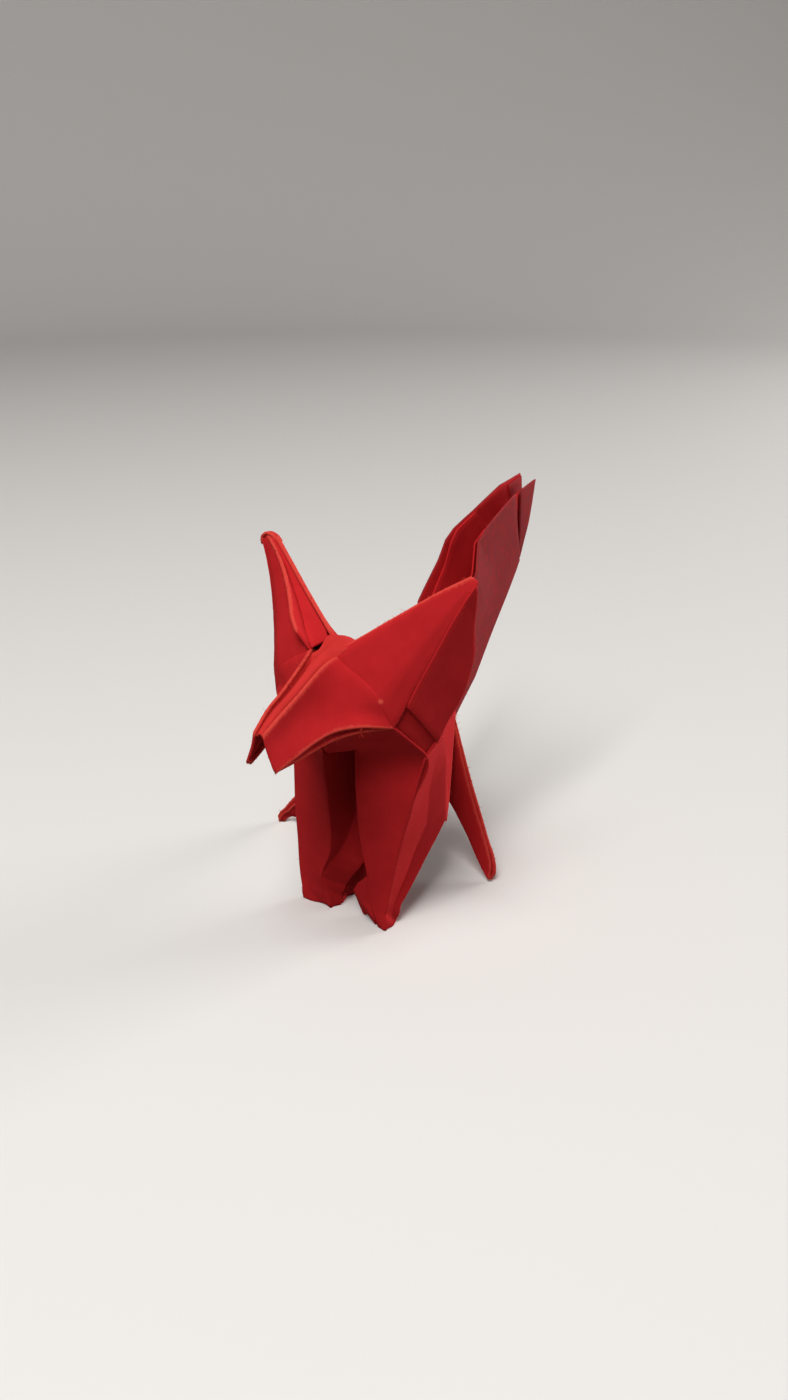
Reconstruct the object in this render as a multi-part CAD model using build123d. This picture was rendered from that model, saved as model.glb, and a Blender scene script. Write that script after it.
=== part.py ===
"""Origami fox: one square of red paper folded into head, body, four legs and tail.

The fox faces -Y, its left side is +X and it stands on Z = 0. Every facet between two folds is a flat
triangle of paper, every fold is a rounded bead along the edge that two facets share, and the facets and
folds are fused into the one sheet that they are.
"""
from build123d import *
import os

# Paper: walls are stacks of 0.1 mm layers, and a fold is a little fatter than its stack
head_wall = 0.40
body_wall = 0.36
tail_wall = 0.28
hind_wall = 0.32
fold_swell = 0.04
fold_sides = 8
fold_overrun = 0.05

# Head: measured from the bridge, the bend where face and ear meet on the middle line
bridge_height = 30.8
bridge_ahead = 3.9
bridge_width = 3.6
snout_length = 9.3
snout_drop = 3.7
snout_depth = 2.9
nose_width = 0.8
chin_width = 3.0
brow_width = 6.0
brow_rise = 2.0
brow_lean = 0.4
cheek_width = 13.0
cheek_drop = 5.4
cheek_back = 0.8
dimple_width = 10.2
dimple_drop = 3.2
dimple_back = 0.9
jaw_width = 7.4
jaw_drop = 5.2
jaw_ahead = 2.4

# Ears: each is an open cone with a straight front edge
ear_spread = 22.3
ear_rise = 7.7
ear_sweep = 5.8
ear_back_width = 20.4
ear_back_drop = 1.9
ear_back_sweep = 7.2
crown_width = 2.0
crown_rise = 1.2
crown_back = 2.0

# Pleat that runs down the middle of the face
pleat_width = 1.8
pleat_depth = 0.7
pleat_ridge_rise = 1.4
pleat_ridge_set = 0.4

# Neck and chest
neck_width = 1.6
neck_back = 5.9
neck_drop = 2.3
throat_width = 4.0
throat_ahead = 5.2
throat_height = 25.2
shoulder_width = 15.5
shoulder_height = 21.4
shoulder_set = 0.3
recess_width = 3.6
recess_height = 20.6
recess_ahead = 2.4
recess_depth = 6.0
recess_floor_width = 1.2

# Flanks and back
flank_width = 12.4
flank_length = 5.4
flank_height = 20.3
belly_width = 11.2
belly_length = 7.7
belly_height = 9.8
rump_width = 3.8
rump_length = 11.5
rump_height = 22.5
keel_length = 11.0
keel_height = 18.5
hip_width = 2.4
hip_length = 16.1
hip_height = 17.0

# Front feet: each stands on a triangle of toe, inner toe and heel
left_toe_out = 3.4
left_toe_in = 0.9
left_heel_out = 2.3
left_heel_back = 4.0
left_shin_height = 6.7
left_shin_in = 1.8
left_recess_foot = 5.5
right_toe_out = 6.8
right_toe_in = 3.5
right_heel_out = 3.2
right_heel_back = 3.3
right_shin_height = 4.0
right_shin_in = 3.9
right_recess_foot = 8.5
shin_ahead = 0.6
toe_ahead = 0.1

# Hind legs: V-shaped troughs that stand out from the hips by different amounts
left_hind_out = 8.1
left_hind_back = 13.2
right_hind_out = 18.3
right_hind_back = 9.7
thigh_width = 8.0
thigh_length = 10.6
thigh_height = 10.0
right_haunch_share = 0.6
hock_width = 2.0
hock_length = 15.0
left_hock_height = 11.0
right_hock_height = 9.5

# Tail: two walls folded together at the rear, open to the front
tail_base_length = 18.55
tail_base_height = 15.6
tail_bend_length = 31.0
tail_bend_height = 28.9
tail_tip_length = 32.4
tail_tip_height = 38.6
tail_tip_width = 1.8
tail_crest_length = 27.6
tail_crest_height = 38.2
tail_crest_width = 2.4
tail_top_length = 19.2
tail_top_height = 35.1
tail_top_width = 3.6
tail_mouth_length = 17.4
tail_mouth_height = 32.3
tail_mouth_width = 5.0
tail_root_length = 15.0
tail_root_height = 29.0
tail_root_width = 5.6

# The feet are trimmed flat on the table
trim_size = 80.0
trim_depth = 5.0

LEFT = 1
RIGHT = -1


def corner(side, width, back, height):
    """Corner at half of a full width from the middle plane, on one side of the fox."""
    return Vector(side * width / 2, back, height)


def head_corner(side, width, back, rise):
    """Corner placed from the bridge of the head."""
    return corner(side, width, back - bridge_ahead, bridge_height + rise)


def facet(a, b, c, wall):
    """Flat triangle of paper, thickened equally to both of its faces."""
    outline = Face(Wire.make_polygon([a, b, c]))
    return extrude(outline, amount=wall / 2, both=True)


def fold(a, b, wall):
    """Rounded bead along a folded edge, running a little past both of its ends."""
    along = (b - a).normalized()
    start = Plane(origin=a - along * fold_overrun, z_dir=along)
    section = start * RegularPolygon(wall / 2 + fold_swell, fold_sides)
    return extrude(section, amount=(b - a).length + 2 * fold_overrun)


def crown(side):
    """Top end of the pleat, where the back of the ear meets the middle of the head."""
    return head_corner(side, crown_width, crown_back, crown_rise)


def neck(side):
    """Front end of the ridge along one side of the back."""
    return head_corner(side, neck_width, neck_back, -neck_drop)


def shoulder(side):
    """Top of the folded edge between the front and the side of a front leg."""
    return corner(side, shoulder_width, shoulder_set, shoulder_height)


def throat(side):
    """Top of the chest under the jaw."""
    return corner(side, throat_width, -throat_ahead, throat_height)


def recess_edge(side):
    """Top of the inner edge of a front leg, beside the recess."""
    return corner(side, recess_width, -recess_ahead, recess_height)


def recess_floor(side):
    """Top of the deep line of the recess."""
    return corner(side, recess_floor_width, recess_depth - recess_ahead, recess_height)


def flank(side):
    """Top of the rear edge of a front leg's side."""
    return corner(side, flank_width, flank_length, flank_height)


def belly(side):
    """Lowest point of the rear edge of a front leg's side."""
    return corner(side, belly_width, belly_length, belly_height)


def rump(side):
    """Rear end of the ridge along one side of the back, where the tail starts."""
    return corner(side, rump_width, rump_length, rump_height)


def hip(side):
    """Rear end of a flank, beside the fold of the tail."""
    return corner(side, hip_width, hip_length, hip_height)


def thigh(side):
    """Lowest point of a flank, ahead of the hind leg."""
    return corner(side, thigh_width, thigh_length, thigh_height)


def tail_base():
    """Lower end of the fold along the rear of the tail."""
    return Vector(0, tail_base_length, tail_base_height)


def head_half(side):
    """Face, ear cone and pleat of one half of the head."""
    bridge = head_corner(side, bridge_width, 0, 0)
    brow = head_corner(side, brow_width, -brow_lean, brow_rise)
    nose = head_corner(side, nose_width, -snout_length, -snout_drop)
    chin = head_corner(side, chin_width, -snout_length, -snout_drop - snout_depth)
    dimple = head_corner(side, dimple_width, dimple_back, -dimple_drop)
    cheek = head_corner(side, cheek_width, cheek_back, -cheek_drop)
    jaw = head_corner(side, jaw_width, -jaw_ahead, -jaw_drop)
    ear_tip = head_corner(side, ear_spread, ear_sweep, ear_rise)
    ear_back = head_corner(side, ear_back_width, ear_back_sweep, -ear_back_drop)
    groove = head_corner(side, pleat_width, pleat_ridge_set, -pleat_depth)
    ridge = head_corner(0, 0, crown_back, pleat_ridge_rise)
    nose_ridge = head_corner(0, 0, pleat_ridge_set - snout_length, -snout_drop)
    face = [(nose, bridge, dimple), (nose, dimple, jaw), (dimple, cheek, jaw), (nose, jaw, chin)]
    ear_front = [(bridge, brow, ear_tip), (bridge, ear_tip, dimple), (dimple, ear_tip, cheek)]
    ear_side = [(ear_tip, cheek, shoulder(side)), (ear_tip, shoulder(side), ear_back)]
    ear_rear = [(ear_tip, ear_back, crown(side)), (crown(side), ear_back, neck(side))]
    nape = [(ear_back, shoulder(side), neck(side)), (throat(side), shoulder(side), cheek)]
    pleat = [(nose, bridge, groove), (nose, groove, nose_ridge), (nose_ridge, groove, ridge)]
    pleat.append((groove, crown(side), ridge))
    folds = [(nose, bridge), (bridge, brow), (bridge, dimple), (dimple, cheek), (cheek, ear_tip)]
    folds += [(ear_tip, ear_back), (ear_back, shoulder(side)), (cheek, shoulder(side)), (nose, chin)]
    if side == LEFT:
        folds.append((nose_ridge, ridge))
    return face + ear_front + ear_side + ear_rear + nape + pleat, folds


def front_leg(side, toe_out, toe_in, heel_out, heel_back, shin_height, shin_in, recess_foot):
    """Front leg: a tapered tube of front, side and recess wall, open at the back."""
    top = shoulder(side)
    inner = recess_edge(side)
    shin = Vector(side * shin_in, -shin_ahead, shin_height)
    toe = Vector(side * toe_out, -toe_ahead, 0)
    inner_toe = Vector(side * toe_in, toe_ahead, 0)
    heel = Vector(side * heel_out, heel_back, 0)
    deep_foot = Vector(side * shin_in / 2, recess_depth - recess_ahead, recess_foot)
    front = [(inner, top, toe), (inner, toe, shin), (shin, toe, inner_toe), (throat(side), inner, top)]
    outside = [(top, toe, heel), (top, heel, belly(side)), (top, belly(side), flank(side))]
    recess = [(inner, shin, deep_foot), (inner, deep_foot, recess_floor(side)), (shin, inner_toe, heel)]
    recess.append((shin, heel, deep_foot))
    folds = [(top, toe), (inner, shin), (shin, inner_toe), (top, flank(side)), (flank(side), belly(side))]
    return front + outside + recess, folds


def throat_band():
    """Band that joins the two front legs above the recess, and the roof of the recess."""
    band = [(throat(LEFT), throat(RIGHT), recess_edge(LEFT))]
    band.append((throat(RIGHT), recess_edge(RIGHT), recess_edge(LEFT)))
    roof = [(recess_edge(LEFT), recess_edge(RIGHT), recess_floor(LEFT))]
    roof.append((recess_edge(RIGHT), recess_floor(RIGHT), recess_floor(LEFT)))
    return band + roof, [(recess_edge(LEFT), recess_edge(RIGHT))]


def back_half(side):
    """Flank, ridge and keel pleat of one half of the back."""
    keel = Vector(0, keel_length, keel_height)
    keel_front = head_corner(side, 0, neck_back, -neck_drop)
    roof = [(neck(side), shoulder(side), flank(side)), (neck(side), flank(side), rump(side))]
    wall = [(flank(side), belly(side), rump(side)), (belly(side), thigh(side), rump(side))]
    wall.append((thigh(side), hip(side), rump(side)))
    pleat = [(neck(side), rump(side), keel), (neck(side), keel, keel_front)]
    pleat += [(rump(side), tail_base(), keel), (rump(side), hip(side), tail_base())]
    folds = [(neck(side), rump(side)), (flank(side), rump(side)), (hip(side), rump(side))]
    if side == LEFT:
        folds += [(keel_front, keel), (keel, tail_base())]
    return roof + wall + pleat, folds


def hind_leg(side, tip_out, tip_back, rear_top, front_top, hock_height):
    """Hind leg: a rear and a front wall that meet in a V along the fold from the hock to the foot."""
    tip = Vector(side * tip_out, tip_back, 0)
    hock = corner(side, hock_width, hock_length, hock_height)
    walls = [(tip, rear_top, hock), (tip, hock, front_top), (rear_top, front_top, hock)]
    return walls, [(tip, hock), (tip, rear_top), (tip, front_top)]


def tail_half(side):
    """One wall of the tail, from the fold at the rear to the open front edge."""
    bend = Vector(0, tail_bend_length, tail_bend_height)
    tip = corner(side, tail_tip_width, tail_tip_length, tail_tip_height)
    crest = corner(side, tail_crest_width, tail_crest_length, tail_crest_height)
    top = corner(side, tail_top_width, tail_top_length, tail_top_height)
    mouth = corner(side, tail_mouth_width, tail_mouth_length, tail_mouth_height)
    root = corner(side, tail_root_width, tail_root_length, tail_root_height)
    lower = [(rump(side), root, tail_base()), (root, mouth, tail_base()), (mouth, bend, tail_base())]
    upper = [(mouth, top, bend), (top, crest, bend), (crest, tip, bend)]
    folds = [(bend, tip)]
    if side == LEFT:
        folds.append((tail_base(), bend))
    return lower + upper, folds


def folded(paper, wall):
    """Solids of one group of facets and folds."""
    facets, folds = paper
    solids = [facet(a, b, c, wall) for a, b, c in facets]
    return solids + [fold(a, b, wall) for a, b in folds]


pieces = folded(throat_band(), body_wall)
pieces += folded(
    front_leg(
        LEFT, left_toe_out, left_toe_in, left_heel_out, left_heel_back,
        left_shin_height, left_shin_in, left_recess_foot,
    ),
    body_wall,
)
pieces += folded(
    front_leg(
        RIGHT, right_toe_out, right_toe_in, right_heel_out, right_heel_back,
        right_shin_height, right_shin_in, right_recess_foot,
    ),
    body_wall,
)
pieces += folded(
    hind_leg(LEFT, left_hind_out, left_hind_back, hip(LEFT), thigh(LEFT), left_hock_height),
    hind_wall,
)
right_haunch = thigh(RIGHT) + (rump(RIGHT) - thigh(RIGHT)) * right_haunch_share
pieces += folded(
    hind_leg(RIGHT, right_hind_out, right_hind_back, rump(RIGHT), right_haunch, right_hock_height),
    hind_wall,
)
for half in (LEFT, RIGHT):
    pieces += folded(head_half(half), head_wall)
    pieces += folded(back_half(half), body_wall)
    pieces += folded(tail_half(half), tail_wall)

sheet = pieces[0].fuse(*pieces[1:])
below_table = Pos(0, 0, -trim_depth / 2) * Box(trim_size, trim_size, trim_depth)
sheet = sheet - below_table
box = sheet.bounding_box()
folded_sheet = Pos(-box.center().X, -box.center().Y, 0) * sheet

os.makedirs("parts", exist_ok=True)
export_step(folded_sheet, "parts/folded_sheet.step")
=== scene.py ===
"""Origami fox of red paper: the folded sheet, its paper finish and the studio around it.

Every panel of paper is a surface over a small net of corners, thickened into a closed slab with a round
rim. Corners are in millimetres in the fold frame: the middle plane of the fox is X = 0, the fox faces -Y,
its left side is +X and it stands on Z = 0. The last step moves the sheet into the part's frame, in metres.
"""

import logging
import math
from dataclasses import dataclass
from enum import Enum
from typing import Any, Protocol, Sequence

import bpy
import numpy as np
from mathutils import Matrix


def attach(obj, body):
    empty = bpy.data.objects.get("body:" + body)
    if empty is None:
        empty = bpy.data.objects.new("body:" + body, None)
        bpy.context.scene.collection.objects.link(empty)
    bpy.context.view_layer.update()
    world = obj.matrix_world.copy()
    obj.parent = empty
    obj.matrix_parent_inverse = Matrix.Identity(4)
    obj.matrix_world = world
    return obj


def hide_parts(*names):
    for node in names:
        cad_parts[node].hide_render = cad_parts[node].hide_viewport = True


LOG = logging.getLogger("origami_fox")
MM = 0.001
UP = np.array([0.0, 0.0, 1.0])
# From the fold frame to the part's frame, whose origin lies under the middle of the sheet's box, in mm.
PART_SHIFT = (3.5486, -9.5726, 0.0)

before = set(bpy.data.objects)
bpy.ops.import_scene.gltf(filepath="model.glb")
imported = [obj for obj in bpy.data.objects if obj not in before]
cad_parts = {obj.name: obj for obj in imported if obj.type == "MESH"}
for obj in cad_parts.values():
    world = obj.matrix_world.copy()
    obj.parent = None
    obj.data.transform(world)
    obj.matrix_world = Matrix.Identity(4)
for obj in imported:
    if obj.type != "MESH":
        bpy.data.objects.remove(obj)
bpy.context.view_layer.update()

Corner = tuple[float, float, float]
Rail = tuple[Corner, ...]


class Side(Enum):
    """The two halves of the fox, by the sign of X."""

    LEFT = 1
    RIGHT = -1

    def put(self, *corners: Corner) -> np.ndarray:
        """Returns corners of the left half, mirrored where this is the right half."""
        return np.array(corners, dtype=float) * (self.value, 1.0, 1.0)


@dataclass(frozen=True)
class Folds:
    """Corners of the left half of the folded sheet, in mm, shared by the panels that meet there."""

    cheek: Corner = (6.5, -3.1, 25.4)
    neck: Corner = (0.8, 2.0, 28.5)
    shoulder: Corner = (7.75, 0.3, 21.4)
    throat: Corner = (2.0, -5.2, 25.2)
    recess_floor: Corner = (0.6, 3.6, 20.6)
    flank: Corner = (6.2, 5.4, 20.3)
    belly: Corner = (5.6, 7.7, 9.8)
    rump: Corner = (1.9, 11.5, 22.5)
    hip: Corner = (1.2, 16.1, 17.0)
    thigh: Corner = (4.0, 10.6, 10.0)
    keel: Corner = (0.0, 11.0, 18.5)
    keel_front: Corner = (0.0, 2.0, 28.5)
    tail_base: Corner = (0.0, 18.55, 15.6)


FOLDS = Folds()


def between(start: np.ndarray, end: np.ndarray, share: float | np.ndarray) -> np.ndarray:
    """Returns the point at a share of the way from start to end."""
    return np.asarray(start) * (1 - share) + np.asarray(end) * share


def hump(share: float | np.ndarray) -> float | np.ndarray:
    """Returns a parabola of the share of a way: 0 at both ends and 1 in the middle."""
    return 4 * share * (1 - share)


def fan(rail: np.ndarray, tip: np.ndarray, width: float = 0.12) -> np.ndarray:
    """Net from a rail to a blunt tip: the tip is the rail shrunk to a short edge.

    Args:
        rail: corners of the rail, (corners, 3).
        tip: point that the panel runs out to.
        width: length of the blunt end in mm.

    Returns:
        Net of two rails, (2, corners, 3).
    """
    span = np.linalg.norm(np.ptp(rail, axis=0))
    return np.stack([rail, tip + (rail - rail.mean(axis=0)) * (width / span)])


def stations(rail: np.ndarray, count: int) -> np.ndarray:
    """Divides a rail into another number of stations, evenly spaced in corners and straight between them.

    Args:
        rail: corners of the rail, (corners, 3).
        count: number of stations.

    Returns:
        Points at the stations, (count, 3).
    """
    at = np.linspace(0, len(rail) - 1, count)
    low = np.minimum(at.astype(int), len(rail) - 2)
    return rail[low] + (rail[low + 1] - rail[low]) * (at - low)[:, None]


@dataclass
class Panel:
    """One run of paper between its folds and cut edges.

    The first axis of the net goes across the rails and the second one along them.

    Attributes:
        net: corners, (rails, corners, 3), in mm.
        wall: thickness in mm.
        bulge: height of the panel's crown over its middle in mm.
        worn_and_highlit: how far each border shows paler, as wear and a painted highlight along its rim:
            first rail, last rail, starts, ends.
        soft: whether the panel curves through its corners instead of creasing there.
        haze_shade: share of the greyer, darker colour, a painted sheen and painted shade, on the face along
            the normal and on the other one.
        rub: share of the paler edge colour over the whole panel.
        cell: size of the mesh's cells in mm.
        raw: how many loose fibres stand on the panel's worn borders, against the other panels.
    """

    net: np.ndarray
    wall: float = 0.26
    bulge: float = 0.0
    worn_and_highlit: tuple[float, float, float, float] = (1.0, 1.0, 1.0, 1.0)
    soft: bool = False
    haze_shade: tuple[float, float] = (0.0, 0.0)
    rub: float = 0.0
    cell: float = 0.7
    raw: float = 1.0


class Folded(Protocol):
    """A run of the sheet that is folded as one."""

    def panels(self) -> list[Panel]:
        """Returns its panels."""


@dataclass
class Slab:
    """Closed mesh of one panel, in mm.

    Attributes:
        points: vertices.
        quads: faces.
        inset: distance of each vertex to the worn edges.
        haze_shade: share of the painted sheen and shade at each vertex.
        rub: rub of each vertex.
        brim: points round the rim.
        away: directions out of the rim there.
        fray: weight of loose fibres there.
    """

    points: np.ndarray
    quads: np.ndarray
    inset: np.ndarray
    haze_shade: np.ndarray
    rub: np.ndarray
    brim: np.ndarray
    away: np.ndarray
    fray: np.ndarray


class Waves:
    """Slow waves that keep the paper from lying dead flat.

    The shift at a point is a sum of sine waves of its place, so panels that share a fold move together.
    """

    def __init__(self, height: float, lengths: Sequence[float], seed: int) -> None:
        """Draws the waves.

        Args:
            height: height of each wave in mm.
            lengths: wavelengths in mm.
            seed: seed of the directions and phases.
        """
        draw = np.random.default_rng(seed)
        across = draw.normal(size=(len(lengths), 3))
        across /= np.linalg.norm(across, axis=1, keepdims=True)
        self.turns = across * (2 * math.pi / np.array(lengths))[:, None]
        self.phases = draw.uniform(0, 2 * math.pi, len(lengths))
        lift = draw.normal(size=(len(lengths), 3))
        self.lift = height * lift / np.linalg.norm(lift, axis=1, keepdims=True)

    def at(self, points: np.ndarray) -> np.ndarray:
        """Returns the shift at each point, in mm."""
        return np.sin(points @ self.turns.T + self.phases) @ self.lift


SHEET_WAVES = Waves(0.035, (6.0, 7.5, 9.0, 11.0, 14.0), 7)
FOOT_CRUMPLE = Waves(0.12, (1.5, 1.9, 2.4, 3.1), 11)
# Height over which the crumple of the feet fades out, and the distance past which an edge shows neither wear
# nor its painted highlight, in mm.
CRUMPLE_REACH = 3.0
UNMARKED = 4.0
# Points over the half circle of a rim, and where on its radius loose fibres start.
RIM_STEPS = 5
BRIM = 0.8
# Limits of a panel's cells along one axis, and the share of a cell that two stations keep between them.
FEWEST_CELLS = 3
MOST_CELLS = 160
CLOSEST = 0.05


def resample(net: np.ndarray, soft: bool, cell: float) -> np.ndarray:
    """Divides the first axis of a net into cells.

    Straight: linear between corners, with every corner kept. Soft: a cubic through the corners whose slope
    at a corner is that of the line between its neighbours.

    Args:
        net: corners, (rails, corners, 3).
        soft: whether the result curves through the corners.
        cell: size of a cell in mm.

    Returns:
        Finer net along the first axis.
    """
    chords = np.linalg.norm(np.diff(net, axis=0), axis=2)
    knots = np.concatenate([[0.0], np.cumsum(chords.mean(axis=1))])
    cells = max(FEWEST_CELLS, min(MOST_CELLS, math.ceil(chords.sum(axis=0).max() / cell)))
    at = np.unique(np.round(np.concatenate([np.linspace(0, knots[-1], cells + 1), knots]), 4))
    at = at[np.concatenate([[True], np.diff(at) > cell * CLOSEST])]
    at[-1] = knots[-1]
    leg = np.clip(np.searchsorted(knots, at, side="right") - 1, 0, len(knots) - 2)
    share = ((at - knots[leg]) / (knots[leg + 1] - knots[leg]))[:, None, None]
    start, end = net[leg], net[leg + 1]
    if not soft or len(net) < 3:
        return start * (1 - share) + end * share
    slope = np.gradient(net, knots, axis=0)
    reach = (knots[leg + 1] - knots[leg])[:, None, None]
    rise = slope[leg] * reach
    fall = slope[leg + 1] * reach
    square, cube = share**2, share**3
    eased = (2 * cube - 3 * square + 1) * start + (3 * square - 2 * cube) * end
    return eased + (cube - 2 * square + share) * rise + (cube - square) * fall


def border(rows: int, columns: int) -> np.ndarray:
    """Walks once round a grid, starting along its first axis.

    Args:
        rows: points along the first axis.
        columns: points along the second axis.

    Returns:
        Flat indices of the grid's border.
    """
    index = np.arange(rows * columns).reshape(rows, columns)
    return np.concatenate([index[:-1, 0], index[-1, :-1], index[:0:-1, -1], index[0, :0:-1]])


def unit(vectors: np.ndarray) -> np.ndarray:
    """Returns the vectors at length one."""
    return vectors / np.maximum(np.linalg.norm(vectors, axis=-1, keepdims=True), 1e-9)


def normals(surface: np.ndarray) -> np.ndarray:
    """Returns the unit normals of a grid: the cross product of its slopes along both axes."""
    return unit(np.cross(np.gradient(surface, axis=0), np.gradient(surface, axis=1)))


def middle_surface(panel: Panel) -> np.ndarray:
    """Divides a panel's net into cells, crowns it by its bulge and moves it by the waves.

    The crown is a parabola along one axis times one along the other. The crumple of the feet fades out
    evenly with the height above the table.

    Args:
        panel: the panel.

    Returns:
        The middle of its wall, (rows, columns, 3), in mm.
    """
    middle = resample(panel.net, panel.soft, panel.cell)
    middle = np.swapaxes(resample(np.swapaxes(middle, 0, 1), panel.soft, panel.cell), 0, 1)
    rows, columns = middle.shape[:2]
    crown = hump(np.linspace(0, 1, rows))[:, None] * hump(np.linspace(0, 1, columns))
    middle = middle + normals(middle) * (panel.bulge * crown)[..., None]
    near_floor = np.clip(1 - middle[..., 2:] / CRUMPLE_REACH, 0, 1)
    return middle + SHEET_WAVES.at(middle) + FOOT_CRUMPLE.at(middle) * near_floor


def edge_distance(middle: np.ndarray, worn_and_highlit: Sequence[float]) -> np.ndarray:
    """Works out how far each point lies from the borders that show wear and a painted highlight, along the
    grid.

    A border with less of them counts as lying further off, by its share of the distance at which they end.

    Args:
        middle: middle of the wall, (rows, columns, 3).
        worn_and_highlit: how far each border shows wear and a painted highlight: first rail, last rail,
            starts, ends.

    Returns:
        Distances in mm, (rows, columns).
    """
    rows, columns = middle.shape[:2]
    down = np.linalg.norm(np.diff(middle, axis=0), axis=2)
    down = np.concatenate([np.zeros((1, columns)), np.cumsum(down, axis=0)])
    over = np.linalg.norm(np.diff(middle, axis=1), axis=2)
    over = np.concatenate([np.zeros((rows, 1)), np.cumsum(over, axis=1)], axis=1)
    to_sides = np.stack([down, down[-1] - down, over, over[:, -1:] - over])
    return (to_sides + UNMARKED * (1 - np.array(worn_and_highlit))[:, None, None]).min(axis=0)


def thicken(panel: Panel) -> Slab:
    """Turns a panel into a closed slab with a half-round rim.

    The two faces lie half a wall to each side of the middle surface, along its normals, and the rim is a
    half circle of that radius, carried round the border.

    Args:
        panel: the panel.

    Returns:
        The slab.
    """
    middle = middle_surface(panel)
    rows, columns = middle.shape[:2]
    size = rows * columns
    half = panel.wall / 2
    flat = middle.reshape(-1, 3)
    lift = normals(middle).reshape(-1, 3)
    loop = border(rows, columns)
    run = unit(np.roll(flat[loop], -1, axis=0) - np.roll(flat[loop], 1, axis=0))
    outward = unit(np.cross(run, lift[loop]))
    angles = np.linspace(math.pi / 2, -math.pi / 2, RIM_STEPS)[1:-1, None, None]
    rings = flat[loop] + half * (np.cos(angles) * outward + np.sin(angles) * lift[loop])
    points = np.concatenate([flat + half * lift, flat - half * lift, rings.reshape(-1, 3)])
    points[:, 2] = np.maximum(points[:, 2], 0.0)
    cells = np.arange(size).reshape(rows, columns)
    top = np.stack([cells[:-1, :-1], cells[1:, :-1], cells[1:, 1:], cells[:-1, 1:]], axis=-1).reshape(-1, 4)
    hoops = 2 * size + np.arange(len(angles) * len(loop)).reshape(len(angles), len(loop))
    hoops = np.concatenate([loop[None], hoops, size + loop[None]])
    ahead = np.roll(hoops, -1, axis=1)
    rim = np.stack([hoops[:-1], hoops[1:], ahead[1:], ahead[:-1]], axis=-1).reshape(-1, 4)
    quads = np.concatenate([top, top[:, ::-1] + size, rim])
    edge = edge_distance(middle, panel.worn_and_highlit).reshape(-1)
    inset = np.concatenate([edge, edge, np.tile(edge[loop] - half, len(angles))])
    haze_shade = np.concatenate([np.repeat(panel.haze_shade, size), np.full(len(points) - 2 * size, max(panel.haze_shade))])
    rub = np.full(len(points), panel.rub)
    step = np.linalg.norm(np.roll(flat[loop], -1, axis=0) - flat[loop], axis=1)
    fray = panel.raw * step * np.clip(1 - edge[loop] / UNMARKED, 0, 1) ** 3
    return Slab(points, quads, inset, haze_shade, rub, flat[loop] + half * BRIM * outward, outward, fray)


@dataclass(frozen=True)
class Fibres:
    """Loose pulp fibres that stand out of worn folds and cut edges, at about their real width.

    Attributes:
        count: how many there are.
        length: middle length in mm.
        spread: spread of the lengths, as the width of their log-normal curve.
        longest: longest one, against the middle length.
        radius: radius at the foot in mm.
        taper: share of the radius that is lost at the end.
        lean: how far their directions stray from straight out of the rim.
        bend: how far their ends stray from a straight line, against their length.
        rub: share of the paler edge colour on them.
        seed: seed of their places and directions.
    """

    count: int = 1400
    length: float = 0.24
    spread: float = 0.5
    longest: float = 1.8
    radius: float = 0.02
    taper: float = 0.7
    lean: float = 0.6
    bend: float = 0.45
    rub: float = 0.5
    seed: int = 5

    def slab(self, slabs: Sequence[Slab]) -> Slab:
        """Grows the fibres of all slabs as one mesh of thin four-sided tubes.

        The line of a fibre leaves the rim along its outward direction, turned at random, and bends with the
        square of the way along it. The tube narrows evenly towards its end.

        Args:
            slabs: slabs whose rims carry the fibres.

        Returns:
            The fibres.
        """
        draw = np.random.default_rng(self.seed)
        keys = ("brim", "away", "fray")
        brim, away, fray = (np.concatenate([getattr(slab, key) for slab in slabs]) for key in keys)
        pick = draw.choice(len(brim), self.count, p=fray / fray.sum())
        lean = unit(away[pick] + draw.normal(scale=self.lean, size=(self.count, 3)))
        bend = draw.normal(scale=self.bend, size=(self.count, 3))
        stretch = draw.lognormal(0.0, self.spread, (self.count, 1, 1))
        length = self.length * np.minimum(stretch, self.longest)
        way = np.array([0.0, 0.5, 1.0])[None, :, None]
        line = brim[pick][:, None] + length * (way * lean[:, None] + way**2 * bend[:, None])
        first = unit(np.cross(lean, draw.normal(size=(self.count, 3))))
        second = np.cross(lean, first)
        hoop = np.stack([first, second, -first, -second], axis=1)
        points = line[:, :, None] + self.radius * (1 - self.taper * way)[..., None] * hoop[:, None]
        index = np.arange(points.size // 3).reshape(self.count, 3, 4)
        ahead = np.roll(index, -1, axis=2)
        sides = np.stack([index[:, :-1], ahead[:, :-1], ahead[:, 1:], index[:, 1:]], axis=-1).reshape(-1, 4)
        quads = np.concatenate([sides, index[:, 0, ::-1], index[:, -1]])
        points = points.reshape(-1, 3)
        points[:, 2] = np.maximum(points[:, 2], 0.0)
        none = np.zeros(len(points))
        return Slab(points, quads, none, none, none + self.rub, brim[:0], away[:0], fray[:0])


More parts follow.
